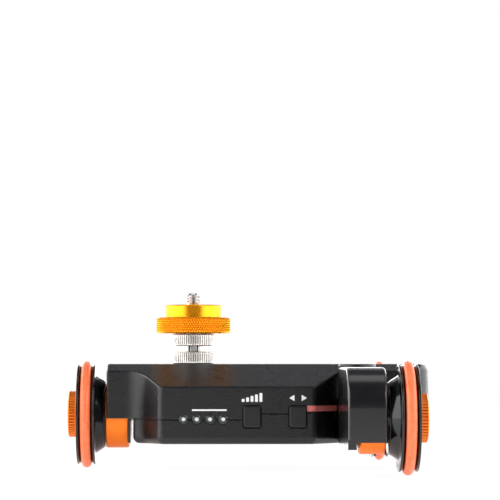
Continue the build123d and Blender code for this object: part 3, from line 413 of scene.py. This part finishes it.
# ---------------------------------------------------------------- mesh helpers
def add_piece(name, vertices, faces, material, body, slot, sharp_degrees=32):
    """A closed mesh from millimetre vertices, smooth except along its sharp edges."""
    mesh = bpy.data.meshes.new(name)
    mesh.from_pydata([Vector(v) * MM for v in vertices], [], faces)
    shape = bmesh.new()
    shape.from_mesh(mesh)
    bmesh.ops.remove_doubles(shape, verts=shape.verts, dist=1e-7)
    bmesh.ops.recalc_face_normals(shape, faces=shape.faces)
    shape.to_mesh(mesh)
    shape.free()
    piece = bpy.data.objects.new(name, mesh)
    bpy.context.scene.collection.objects.link(piece)
    mesh.materials.append(MATERIALS[material])
    soften(mesh, sharp_degrees)
    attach(piece, body)
    return piece


def soften(mesh, sharp_degrees):
    """Smooth shading, kept crisp where faces meet at more than the given angle."""
    mesh.shade_smooth()
    mesh.set_sharp_from_angle(angle=math.radians(sharp_degrees))


def even_steps(start, end, steps):
    """Evenly spaced values from start to end, both included."""
    return [start + (end - start) * i / steps for i in range(steps + 1)]


def arc_angles(count, first, last):
    """Evenly spaced angles in radians between two angles in degrees."""
    return [math.radians(angle) for angle in even_steps(first, last, count - 1)]


def rounded(points, radius, steps=4):
    """The outline with each inner corner replaced by a small arc."""
    outline = [points[0]]
    for before, corner, after in zip(points, points[1:], points[2:]):
        corner_v, into, out = Vector(corner), Vector(before) - Vector(corner), Vector(after) - Vector(corner)
        reach = min(radius, into.length * 0.45, out.length * 0.45)
        start, end = corner_v + into.normalized() * reach, corner_v + out.normalized() * reach
        for i in range(steps + 1):
            t = i / steps
            outline.append(tuple((1 - t) ** 2 * start + 2 * t * (1 - t) * corner_v + t**2 * end))
    outline.append(points[-1])
    return outline


def spun(profile, place, columns, radius_at=None):
    """Vertices and faces of a form turned about the place's Z axis, from (radius, height) points.

    A profile that starts and ends on the axis makes a solid; any other is closed into a ring.
    """
    radius_at = radius_at or (lambda radius, height, angle: radius)
    solid = profile[0][0] == 0
    rows = profile[1:-1] if solid else profile
    vertices = []
    for radius, height in rows:
        for column in range(columns):
            angle = 2 * math.pi * column / columns
            r = radius_at(radius, height, angle)
            vertices.append(place @ Vector((r * math.cos(angle), r * math.sin(angle), height)))
    faces = []
    for row in range(len(rows) - (1 if solid else 0)):
        a, b = row * columns, (row + 1) % len(rows) * columns
        for column in range(columns):
            after = (column + 1) % columns
            faces.append((a + column, b + column, b + after, a + after))
    if solid:
        first_pole = len(vertices)
        vertices += [place @ Vector((0, 0, profile[0][1])), place @ Vector((0, 0, profile[-1][1]))]
        last = (len(rows) - 1) * columns
        for column in range(columns):
            after = (column + 1) % columns
            faces.append((first_pole, column, after))
            faces.append((first_pole + 1, last + after, last + column))
    return vertices, faces


def middle_of(node):
    """Centre of a CAD node's box, in millimetres."""
    low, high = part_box(node)
    return (low + high) / (2 * MM)


def size_of(node):
    """Size of a CAD node's box, in millimetres."""
    low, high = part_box(node)
    return (high - low) / MM


def along_x(centre, outboard):
    """Place whose local +Z points outboard along X."""
    return Matrix.Translation(centre) @ Matrix.Rotation(math.radians(90 * outboard), 4, "Y")


# ---------------------------------------------------------------- wheels
def tyre(name, node, body):
    """Cord ring with a fine moulding line round its outside."""
    centre = middle_of(node)
    ring = size_of(node).z / 2 - TYRE_CORD
    vertices = []
    for i in range(TYRE_COLUMNS):
        turn = 2 * math.pi * i / TYRE_COLUMNS
        for j in range(CORD_COLUMNS):
            angle = 2 * math.pi * j / CORD_COLUMNS
            cord = TYRE_CORD - (0 if j == 0 else TYRE_SEAM_HEIGHT)
            r = ring + cord * math.cos(angle)
            x = centre.x + cord * math.sin(angle)
            vertices.append((x, centre.y + r * math.cos(turn), centre.z + r * math.sin(turn)))
    faces = []
    for i in range(TYRE_COLUMNS):
        for j in range(CORD_COLUMNS):
            here, ahead = i * CORD_COLUMNS, (i + 1) % TYRE_COLUMNS * CORD_COLUMNS
            k = (j + 1) % CORD_COLUMNS
            faces.append((here + j, ahead + j, ahead + k, here + k))
    piece = add_piece(name, vertices, faces, "tyre_orange", body, "tyre_orange", 60)
    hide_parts(node)


def hub(name, node, tyre_node, body, outboard):
    """Hub with a flared groove between thin flanges, a dished outer face and an inboard cone."""
    place = along_x(middle_of(tyre_node), outboard)
    ring = size_of(tyre_node).z / 2 - TYRE_CORD
    flange = size_of(node).z / 2
    floor = flange - GROOVE_FLARE_DEPTH
    groove = TYRE_CORD + GROOVE_PLAY
    half_mouth = math.acos((floor - ring) / groove)
    floor_edge = groove * math.sin(half_mouth)
    dish = list(zip(DISH_RADII, (FLANGE_FACE, DISH_FACE, DISH_FACE, FLANGE_FACE)))
    rim = [(flange, FLANGE_FACE), (flange, GROOVE_MOUTH_HALF_WIDTH), (floor, floor_edge)]
    outer_face = rounded([(0, FLANGE_FACE)] + dish + rim, FLANGE_ROUND)
    sweep = 2 * math.pi - 2 * half_mouth
    groove_angles = [half_mouth + sweep * i / GROOVE_STEPS for i in range(1, GROOVE_STEPS)]
    groove_arc = [(ring + groove * math.cos(angle), groove * math.sin(angle)) for angle in groove_angles]
    inner_rim = [(radius, -height) for radius, height in reversed(rim)]
    cone = [(radius, -height) for radius, height in CONE_PROFILE]
    inner_face = rounded(inner_rim + cone + [(0, -HUB_INNER_FACE)], FLANGE_ROUND)
    vertices, faces = spun(outer_face + groove_arc + inner_face, place, HUB_COLUMNS)
    piece = add_piece(name, vertices, faces, "wheel_black", body, "wheel_black")
    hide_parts(node)


def straight_knurl(teeth, depth, low, high, fade=0.35):
    """Radius rule for a straight knurl between two heights, fading out at both ends."""
    def radius_at(radius, height, angle):
        edge = min(height - low, high - height)
        if edge <= 0:
            return radius
        wave = abs((angle * teeth / (2 * math.pi)) % 1.0 * 2 - 1)
        cut = max(0.0, 2 * wave - 1)
        return radius - depth * min(1.0, edge / fade) * cut
    return radius_at


def knob(name, node, body, outboard):
    """Orange clamping nut: straight knurl, chamfered rim, dished face with a centre mark."""
    size = size_of(node)
    radius = size.z / 2
    place = along_x(middle_of(node), outboard)
    half = size.x / 2
    low, high = -half + 0.35, half - 0.45
    rows = even_steps(high, low, KNURL_ROWS)
    dish = [(dish_radius, half - depth) for dish_radius, depth in KNOB_DISH]
    face = rounded(dish + [(radius - KNOB_CHAMFER, half)], 0.3)
    profile = face + [(radius - 0.12, high + 0.04)] + [(radius, row) for row in rows]
    profile += [(radius - 0.12, low - 0.04), (radius - 0.5, -half), (0, -half)]
    rule = straight_knurl(KNOB_TEETH, KNOB_KNURL_DEPTH, low, high)
    vertices, faces = spun(profile, place, KNOB_TEETH * COLUMNS_PER_TOOTH, rule)
    piece = add_piece(name, vertices, faces, "orange_anodised", body, "orange_anodised", 24)
    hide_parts(node)


def wheel(side, body, outboard):
    """The three detailed pieces of one wheel."""
    tyre(f"{side}_cord_tyre", f"{side}_tyre", body)
    hub(f"{side}_grooved_hub", f"{side}_wheel_hub", f"{side}_tyre", body, outboard)
    knob(f"{side}_knurled_knob", f"{side}_wheel_knob", body, outboard)


# ---------------------------------------------------------------- camera post
def upright(node):
    """Place on a post's axis at the floor, with Z up."""
    centre = middle_of(node)
    return Matrix.Translation((centre.x, centre.y, 0))


def diamond_knurl(teeth, depth, low, high, fade=0.3):
    """Radius rule for crossed grooves at DISC_KNURL_ANGLE to the axis."""
    lead = 2 * math.pi * DISC_RADIUS / teeth / math.tan(math.radians(DISC_KNURL_ANGLE))

    def groove(phase):
        return abs(phase % 1.0 * 2 - 1) ** DISC_KNURL_SHARPNESS

    def radius_at(radius, height, angle):
        edge = min(height - low, high - height)
        if edge <= 0:
            return radius
        turn = angle * teeth / (2 * math.pi)
        cut = max(groove(turn + height / lead), groove(turn - height / lead))
        return radius - depth * min(1.0, edge / fade) * cut
    return radius_at


def lock_disc():
    """Gold disc with a diamond knurl and a plain turned boss on top."""
    node = "lock_disc"
    low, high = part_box(node)
    bottom, top = low.z / MM, high.z / MM
    radius = size_of(node).x / 2
    disc_top = bottom + DISC_THICKNESS
    boss = BOSS_RADIUS
    knurl_low, knurl_high = bottom + DISC_KNURL_MARGIN, disc_top - DISC_KNURL_MARGIN
    rows = even_steps(knurl_low, knurl_high, DISC_KNURL_ROWS)
    undercut_start, undercut_end = DISC_UNDERCUT_RADII
    profile = [(POST_BORE, bottom + DISC_UNDERCUT), (undercut_start, bottom + DISC_UNDERCUT)]
    profile += [(undercut_end, bottom), (radius - DISC_CHAMFER, bottom)]
    profile += [(radius - 0.1, knurl_low - 0.05)] + [(radius, row) for row in rows]
    profile += [(radius - 0.1, knurl_high + 0.05), (radius - DISC_CHAMFER, disc_top)]
    sink_start, sink_end = BOSS_SINK_RADII
    boss_outline = [
        (boss + BOSS_LIP, disc_top),
        (boss, disc_top),
        (boss, top - BOSS_LIP),
        (boss - BOSS_LIP, top),
        (sink_start, top),
        (sink_end, top - BOSS_LIP),
        (POST_BORE + BOSS_LIP, top - BOSS_LIP),
        (POST_BORE, top - 2 * BOSS_LIP),
    ]
    profile += rounded(boss_outline, 0.25)
    rule = diamond_knurl(DISC_TEETH, DISC_KNURL_DEPTH, knurl_low, knurl_high)
    vertices, faces = spun(profile, upright(node), DISC_TEETH * COLUMNS_PER_TOOTH, rule)
    slot = "orange_anodised"
    piece = add_piece("knurled_lock_disc", vertices, faces, "gold_anodised", "lock_disc", slot, 28)
    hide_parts(node)


def camera_stud():
    """Quarter-inch stud with its real thread above the disc, on a plain slimmer shank."""
    node = "camera_stud"
    low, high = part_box(node)
    bottom, top = low.z / MM, high.z / MM
    radius = size_of(node).x / 2
    length = top - THREAD_POINT - THREAD_START - THREAD_RUN_OUT
    rows = int(length / THREAD_PITCH * THREAD_ROWS_PER_TURN)
    heights = [top - THREAD_POINT - length * i / rows for i in range(rows + 1)]

    def thread(r, height, angle):
        if r < radius:
            return r
        phase = (height / THREAD_PITCH - angle / (2 * math.pi)) % 1.0
        cut = min(1.0, max(0.0, 1.25 * abs(2 * phase - 1) - 0.12))
        return r - THREAD_DEPTH * cut

    profile = [(0, top), (radius - 1.0, top)] + [(radius, height) for height in heights]
    profile += [(SHANK_RADIUS, THREAD_START), (SHANK_RADIUS, bottom + 0.4)]
    profile += [(SHANK_RADIUS - 0.4, bottom), (0, bottom)]
    vertices, faces = spun(profile, upright(node), 60, thread)
    piece = add_piece("threaded_camera_stud", vertices, faces, "steel", "chassis", "steel", 28)
    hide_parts(node)


def cut_with(piece, name, vertices, faces):
    """Cuts a closed form out of a piece and applies the result."""
    mesh = bpy.data.meshes.new(name)
    mesh.from_pydata([Vector(v) * MM for v in vertices], [], faces)
    shape = bmesh.new()
    shape.from_mesh(mesh)
    bmesh.ops.recalc_face_normals(shape, faces=shape.faces)
    shape.to_mesh(mesh)
    shape.free()
    cutter = bpy.data.objects.new(name, mesh)
    bpy.context.scene.collection.objects.link(cutter)
    modifier = piece.modifiers.new("cut", "BOOLEAN")
    modifier.operation = "DIFFERENCE"
    modifier.solver = "EXACT"
    modifier.object = cutter
    graph = bpy.context.evaluated_depsgraph_get()
    result = bpy.data.meshes.new_from_object(piece.evaluated_get(graph))
    piece.modifiers.clear()
    piece.data = result
    bpy.data.objects.remove(cutter)


def sector_form(place, radii, half_angle, heights, steps=10):
    """Block between two arcs about a place's Z axis, centred on its X axis, with a serrated inner face."""
    angles = [half_angle * (2 * i / steps - 1) for i in range(steps + 1)]
    outline = [(radii[0] + SLOT_SERRATION * (i % 2), a) for i, a in enumerate(angles)]
    outline += [(radii[1], a) for a in reversed(angles)]
    vertices = [place @ Vector((r * math.cos(a), r * math.sin(a), z)) for z in heights for r, a in outline]
    count, last = len(outline), len(vertices) - 1
    faces = [tuple(range(count)), tuple(range(last, last - count, -1))]
    for row in range(len(heights) - 1):
        for i in range(count):
            a, b = row * count + i, row * count + (i + 1) % count
            faces.append((a, b, b + count, a + count))
    return vertices, faces


def spigot():
    """Bright column with two knurled bands, a groove with three slots, and a side scallop with a hole."""
    node = "camera_spigot"
    low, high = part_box(node)
    bottom, top = low.z / MM, high.z / MM
    radius = size_of(node).x / 2
    groove_low, groove_high = SPIGOT_GROOVE
    waist = radius - SPIGOT_GROOVE_DEPTH
    bottom_margin, groove_margin, top_margin = SPIGOT_KNURL_MARGINS
    lower_band = (bottom + bottom_margin, groove_low - groove_margin)
    upper_band = (groove_high + groove_margin, top - top_margin)
    bands = (lower_band, upper_band)
    groove_middle = (groove_low + groove_high) / 2
    groove_rows = (groove_low, groove_low + 0.3, groove_middle, groove_high - 0.3, groove_high)

    def rule(r, height, angle):
        for band_low, band_high in bands:
            if band_low < height < band_high:
                return straight_knurl(SPIGOT_TEETH, SPIGOT_KNURL_DEPTH, band_low, band_high)(r, height, angle)
        return r

    lower, upper = (even_steps(start, end, KNURL_ROWS) for start, end in bands)
    profile = [(POST_BORE, bottom), (radius - SPIGOT_CHAMFER, bottom), (radius - END_STEP, bottom + 0.3)]
    profile += [(radius, row) for row in lower] + [(radius - END_STEP, groove_low - 0.1)]
    profile += [(waist, row) for row in groove_rows]
    profile += [(radius - END_STEP, groove_high + 0.1)] + [(radius, row) for row in upper]
    profile += [(radius - END_STEP, top - END_STEP), (radius - SPIGOT_CHAMFER, top), (POST_BORE, top)]
    vertices, faces = spun(profile, upright(node), SPIGOT_TEETH * COLUMNS_PER_TOOTH, rule)
    piece = add_piece("knurled_spigot", vertices, faces, "bright_nickel", "chassis", "bright_nickel", 26)
    post = middle_of(node)
    half_slot = math.asin(SPIGOT_SLOT_WIDTH / 2 / waist)
    for turn in SPIGOT_SLOT_TURNS:
        place = Matrix.Translation((post.x, post.y, 0)) @ Matrix.Rotation(math.radians(turn), 4, "Z")
        slot = sector_form(place, (waist - SPIGOT_SLOT_DEPTH, radius + CUT_PAST), half_slot, groove_rows)
        cut_with(piece, "spigot_slot", *slot)
    scallop_x = post.x - radius + SCALLOP_DEPTH - SCALLOP_RADIUS
    place = along_x(Vector((scallop_x, post.y, sum(SPIGOT_GROOVE) / 2)), 1)
    ball = [(SCALLOP_RADIUS * math.sin(a), SCALLOP_RADIUS * math.cos(a)) for a in arc_angles(23, 7.5, 172.5)]
    cut_with(piece, "scallop", *spun([(0, SCALLOP_RADIUS)] + ball + [(0, -SCALLOP_RADIUS)], place, 48))
    reach = SCALLOP_RADIUS + SCALLOP_HOLE_DEPTH
    hole = [(0, 0), (SCALLOP_HOLE_RADIUS, 0), (SCALLOP_HOLE_RADIUS, reach), (0, reach)]
    cut_with(piece, "scallop_hole", *spun(hole, place, 24))
    soften(piece.data, 26)
    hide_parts(node)


# ---------------------------------------------------------------- lamps and printed marks
def lamp_places():
    """Places on the lamps' axes at the front wall, with local Z pointing out of the wall."""
    low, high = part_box("status_leds")
    radius = (high.z - low.z) / 2 / MM
    first, last = low.x / MM + radius, high.x / MM - radius
    wall = front_wall()
    facing_out = Matrix.Rotation(math.radians(90), 4, "X")
    for x in even_steps(first, last, LAMP_COUNT - 1):
        yield Matrix.Translation((x, wall, middle_of("status_leds").z)) @ facing_out


def front_wall():
    """Y of the front wall, in millimetres; the window is flush with it."""
    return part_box("ir_window")[0].y / MM


def many(forms):
    """Joins several (vertices, faces) forms into one."""
    vertices, faces = [], []
    for form_vertices, form_faces in forms:
        offset = len(vertices)
        vertices += form_vertices
        faces += [tuple(i + offset for i in face) for face in form_faces]
    return vertices, faces


def lamps():
    """Four clear domes with a small white reflector inside each."""
    dome = [(LENS_RADIUS * math.sin(a), LENS_RAISE + LENS_DOME * math.cos(a)) for a in arc_angles(8, 8, 90)]
    lens = [(0, LENS_RAISE + LENS_DOME)] + dome + [(LENS_RADIUS, LENS_BACK), (0, LENS_BACK)]
    core_back, core_front = CORE_HEIGHTS
    core_outline = [(0, core_front), (CORE_RADIUS, core_front), (CORE_RADIUS, core_back), (0, core_back)]
    core = rounded(core_outline, 0.3)
    lens_forms = many([spun(lens, place, 40) for place in lamp_places()])
    core_forms = many([spun(core, place, 40) for place in lamp_places()])
    lenses = add_piece("lamp_lenses", *lens_forms, "lamp_clear", "chassis", "lamp_clear")
    add_piece("lamp_reflectors", *core_forms, "lamp_core", "chassis", "lamp_clear")
    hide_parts("status_leds")


def ink_patch(outline):
    """A thin closed slab of ink on the front wall, from (x, z) points."""
    wall = front_wall()
    count = len(outline)
    vertices = [(x, wall + INK_DEPTH, z) for x, z in outline]
    vertices += [(x, wall - INK_THICKNESS, z) for x, z in outline]
    faces = [tuple(range(count)), tuple(range(2 * count - 1, count - 1, -1))]
    faces += [(i, (i + 1) % count, count + (i + 1) % count, count + i) for i in range(count)]
    return vertices, faces


def bar(x, z, width, height):
    """Rectangle outline with softened corners, from its lower left corner."""
    middle = (x + width / 2, z)
    corners = [(x + width, z), (x + width, z + height), (x, z + height), (x, z)]
    return rounded([middle] + corners + [middle], min(width, height) * 0.3)[:-1]


def arrowhead(tip_x, base_x, z, half_height):
    """Triangle outline with softened corners."""
    middle = (base_x, z)
    corners = [(base_x, z + half_height), (tip_x, z), (base_x, z - half_height)]
    return rounded([middle] + corners + [middle], 0.25)[:-1]


def printed_marks():
    """White line over the lamps, a five-bar level symbol and two arrowheads over the buttons."""
    lamps_x = [place.translation.x for place in lamp_places()]
    lamp_z = middle_of("status_leds").z
    line_left = lamps_x[1] - LINE_PAST_LAMP
    line_width = lamps_x[3] - lamps_x[1] + LINE_EXTRA
    line = bar(line_left, lamp_z + LINE_ABOVE_LAMPS, line_width, LINE_HEIGHT)
    speed = middle_of("speed_button")
    first_height, height_step = BAR_HEIGHTS
    bars_z = speed.z + BARS_ABOVE_BUTTON
    bars = [
        bar(speed.x - BARS_LEFT + BAR_SPACING * i, bars_z, BAR_WIDTH, first_height + height_step * i)
        for i in range(BAR_COUNT)
    ]
    direction = middle_of("direction_button")
    arrow_z = direction.z + ARROWS_ABOVE_BUTTON
    arrows = [
        arrowhead(direction.x + side * ARROW_TIP, direction.x + side * ARROW_BASE, arrow_z, ARROW_HALF_HEIGHT)
        for side in (-1, 1)
    ]
    forms = [ink_patch(outline) for outline in [line] + bars + arrows]
    add_piece("printed_marks", *many(forms), "white_ink", "chassis", "button_black")


# ---------------------------------------------------------------- CAD pieces that keep their shape
def finish_cad_nodes():
    """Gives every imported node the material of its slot."""
    for part in frame["record"]["subparts"]:
        node = frame["nodes"][part["node"]]
        node.data.materials.clear()
        node.data.materials.append(MATERIALS[part["material_slot"]])


# ---------------------------------------------------------------- stage
def stage():
    """Pale round floor that fades out, a white surround and soft studio lights."""
    floor_shape = bmesh.new()
    bmesh.ops.create_circle(floor_shape, cap_ends=True, segments=96, radius=FLOOR_RADIUS)
    mesh = bpy.data.meshes.new("floor")
    floor_shape.to_mesh(mesh)
    floor_shape.free()
    floor = bpy.data.objects.new("floor", mesh)
    bpy.context.scene.collection.objects.link(floor)
    floor.location.z = -FLOOR_DROP
    mesh.materials.append(floor_material())
    surround()
    for name, place, size, brightness in SINGLE_LIGHTS:
        soft_light(f"{name}_light", place, size, brightness)
    for side_name, side in (("left", -1), ("right", 1)):
        for name, (x, y, z), size, brightness in PAIRED_LIGHTS:
            soft_light(f"{side_name}_{name}_light", (side * x, y, z), size, brightness)


def soft_light(name, place, size, brightness):
    """Rectangular soft box that faces LIGHT_TARGET; its power grows with its area."""
    light = bpy.data.lights.new(name, "AREA")
    light.shape = "RECTANGLE"
    light.size, light.size_y = size
    light.energy = brightness * math.pi * size[0] * size[1]
    lamp = bpy.data.objects.new(name, light)
    bpy.context.scene.collection.objects.link(lamp)
    lamp.location = place
    lamp.rotation_euler = (Vector(LIGHT_TARGET) - Vector(place)).to_track_quat("-Z", "Y").to_euler()
    lamp.visible_camera = False


def floor_material():
    """White matt, faintly glowing floor that fades out with distance and is nearly clear to the camera."""
    material = bpy.data.materials.new("floor")
    material.use_nodes = True
    nodes, links = material.node_tree.nodes, material.node_tree.links
    matt = nodes["Principled BSDF"]
    matt.inputs["Base Color"].default_value = (0.95, 0.95, 0.95, 1)
    matt.inputs["Roughness"].default_value = 0.6
    matt.inputs["Emission Color"].default_value = (1, 1, 1, 1)
    matt.inputs["Emission Strength"].default_value = FLOOR_GLOW
    place = nodes.new("ShaderNodeTexCoord")
    distance = nodes.new("ShaderNodeVectorMath")
    distance.operation = "LENGTH"
    links.new(place.outputs["Object"], distance.inputs[0])
    fade = nodes.new("ShaderNodeMapRange")
    fade.interpolation_type = "SMOOTHSTEP"
    fade.inputs["From Min"].default_value = FLOOR_FADE[0]
    fade.inputs["From Max"].default_value = FLOOR_FADE[1]
    links.new(distance.outputs["Value"], fade.inputs["Value"])
    clear = nodes.new("ShaderNodeBsdfTransparent")
    mix = nodes.new("ShaderNodeMixShader")
    links.new(fade.outputs["Result"], mix.inputs["Fac"])
    links.new(matt.outputs["BSDF"], mix.inputs[1])
    links.new(clear.outputs["BSDF"], mix.inputs[2])
    rays = nodes.new("ShaderNodeLightPath")
    veil = nodes.new("ShaderNodeMath")
    veil.operation = "MULTIPLY"
    veil.inputs[1].default_value = FLOOR_VEIL
    links.new(rays.outputs["Is Camera Ray"], veil.inputs[0])
    veiled = nodes.new("ShaderNodeMixShader")
    links.new(veil.outputs["Value"], veiled.inputs["Fac"])
    links.new(mix.outputs["Shader"], veiled.inputs[1])
    links.new(clear.outputs["BSDF"], veiled.inputs[2])
    links.new(veiled.outputs["Shader"], nodes["Material Output"].inputs["Surface"])
    return material


def surround():
    """White background for direct sight, and a dim grey one for light and reflections."""
    world = bpy.data.worlds.new("studio")
    bpy.context.scene.world = world
    world.use_nodes = True
    nodes, links = world.node_tree.nodes, world.node_tree.links
    seen = nodes.new("ShaderNodeBackground")
    seen.inputs["Color"].default_value = (1, 1, 1, 1)
    felt = nodes["Background"]
    felt.inputs["Color"].default_value = (0.9, 0.93, 1.0, 1)
    felt.inputs["Strength"].default_value = WORLD_STRENGTH
    rays = nodes.new("ShaderNodeLightPath")
    mix = nodes.new("ShaderNodeMixShader")
    links.new(rays.outputs["Is Camera Ray"], mix.inputs["Fac"])
    links.new(felt.outputs["Background"], mix.inputs[1])
    links.new(seen.outputs["Background"], mix.inputs[2])
    links.new(mix.outputs["Shader"], nodes["World Output"].inputs["Surface"])


def camera():
    """Long-lens camera level with the body's top, turned a little up and to the right."""
    data = bpy.data.cameras.new("camera")
    data.lens = CAMERA_LENS
    data.clip_end = 50
    viewer = bpy.data.objects.new("camera", data)
    bpy.context.scene.collection.objects.link(viewer)
    viewer.location = CAMERA_PLACE
    viewer.rotation_euler = (math.radians(90) + CAMERA_PITCH, 0, -CAMERA_YAW)
    bpy.context.scene.camera = viewer


camera()
stage()
finish_cad_nodes()
wheel("drive", "drive_wheel", -1)
wheel("front", "front_wheel", 1)
wheel("rear", "rear_wheel", 1)
lock_disc()
camera_stud()
spigot()
lamps()
printed_marks()
bpy.context.scene.view_settings.view_transform = "Standard"
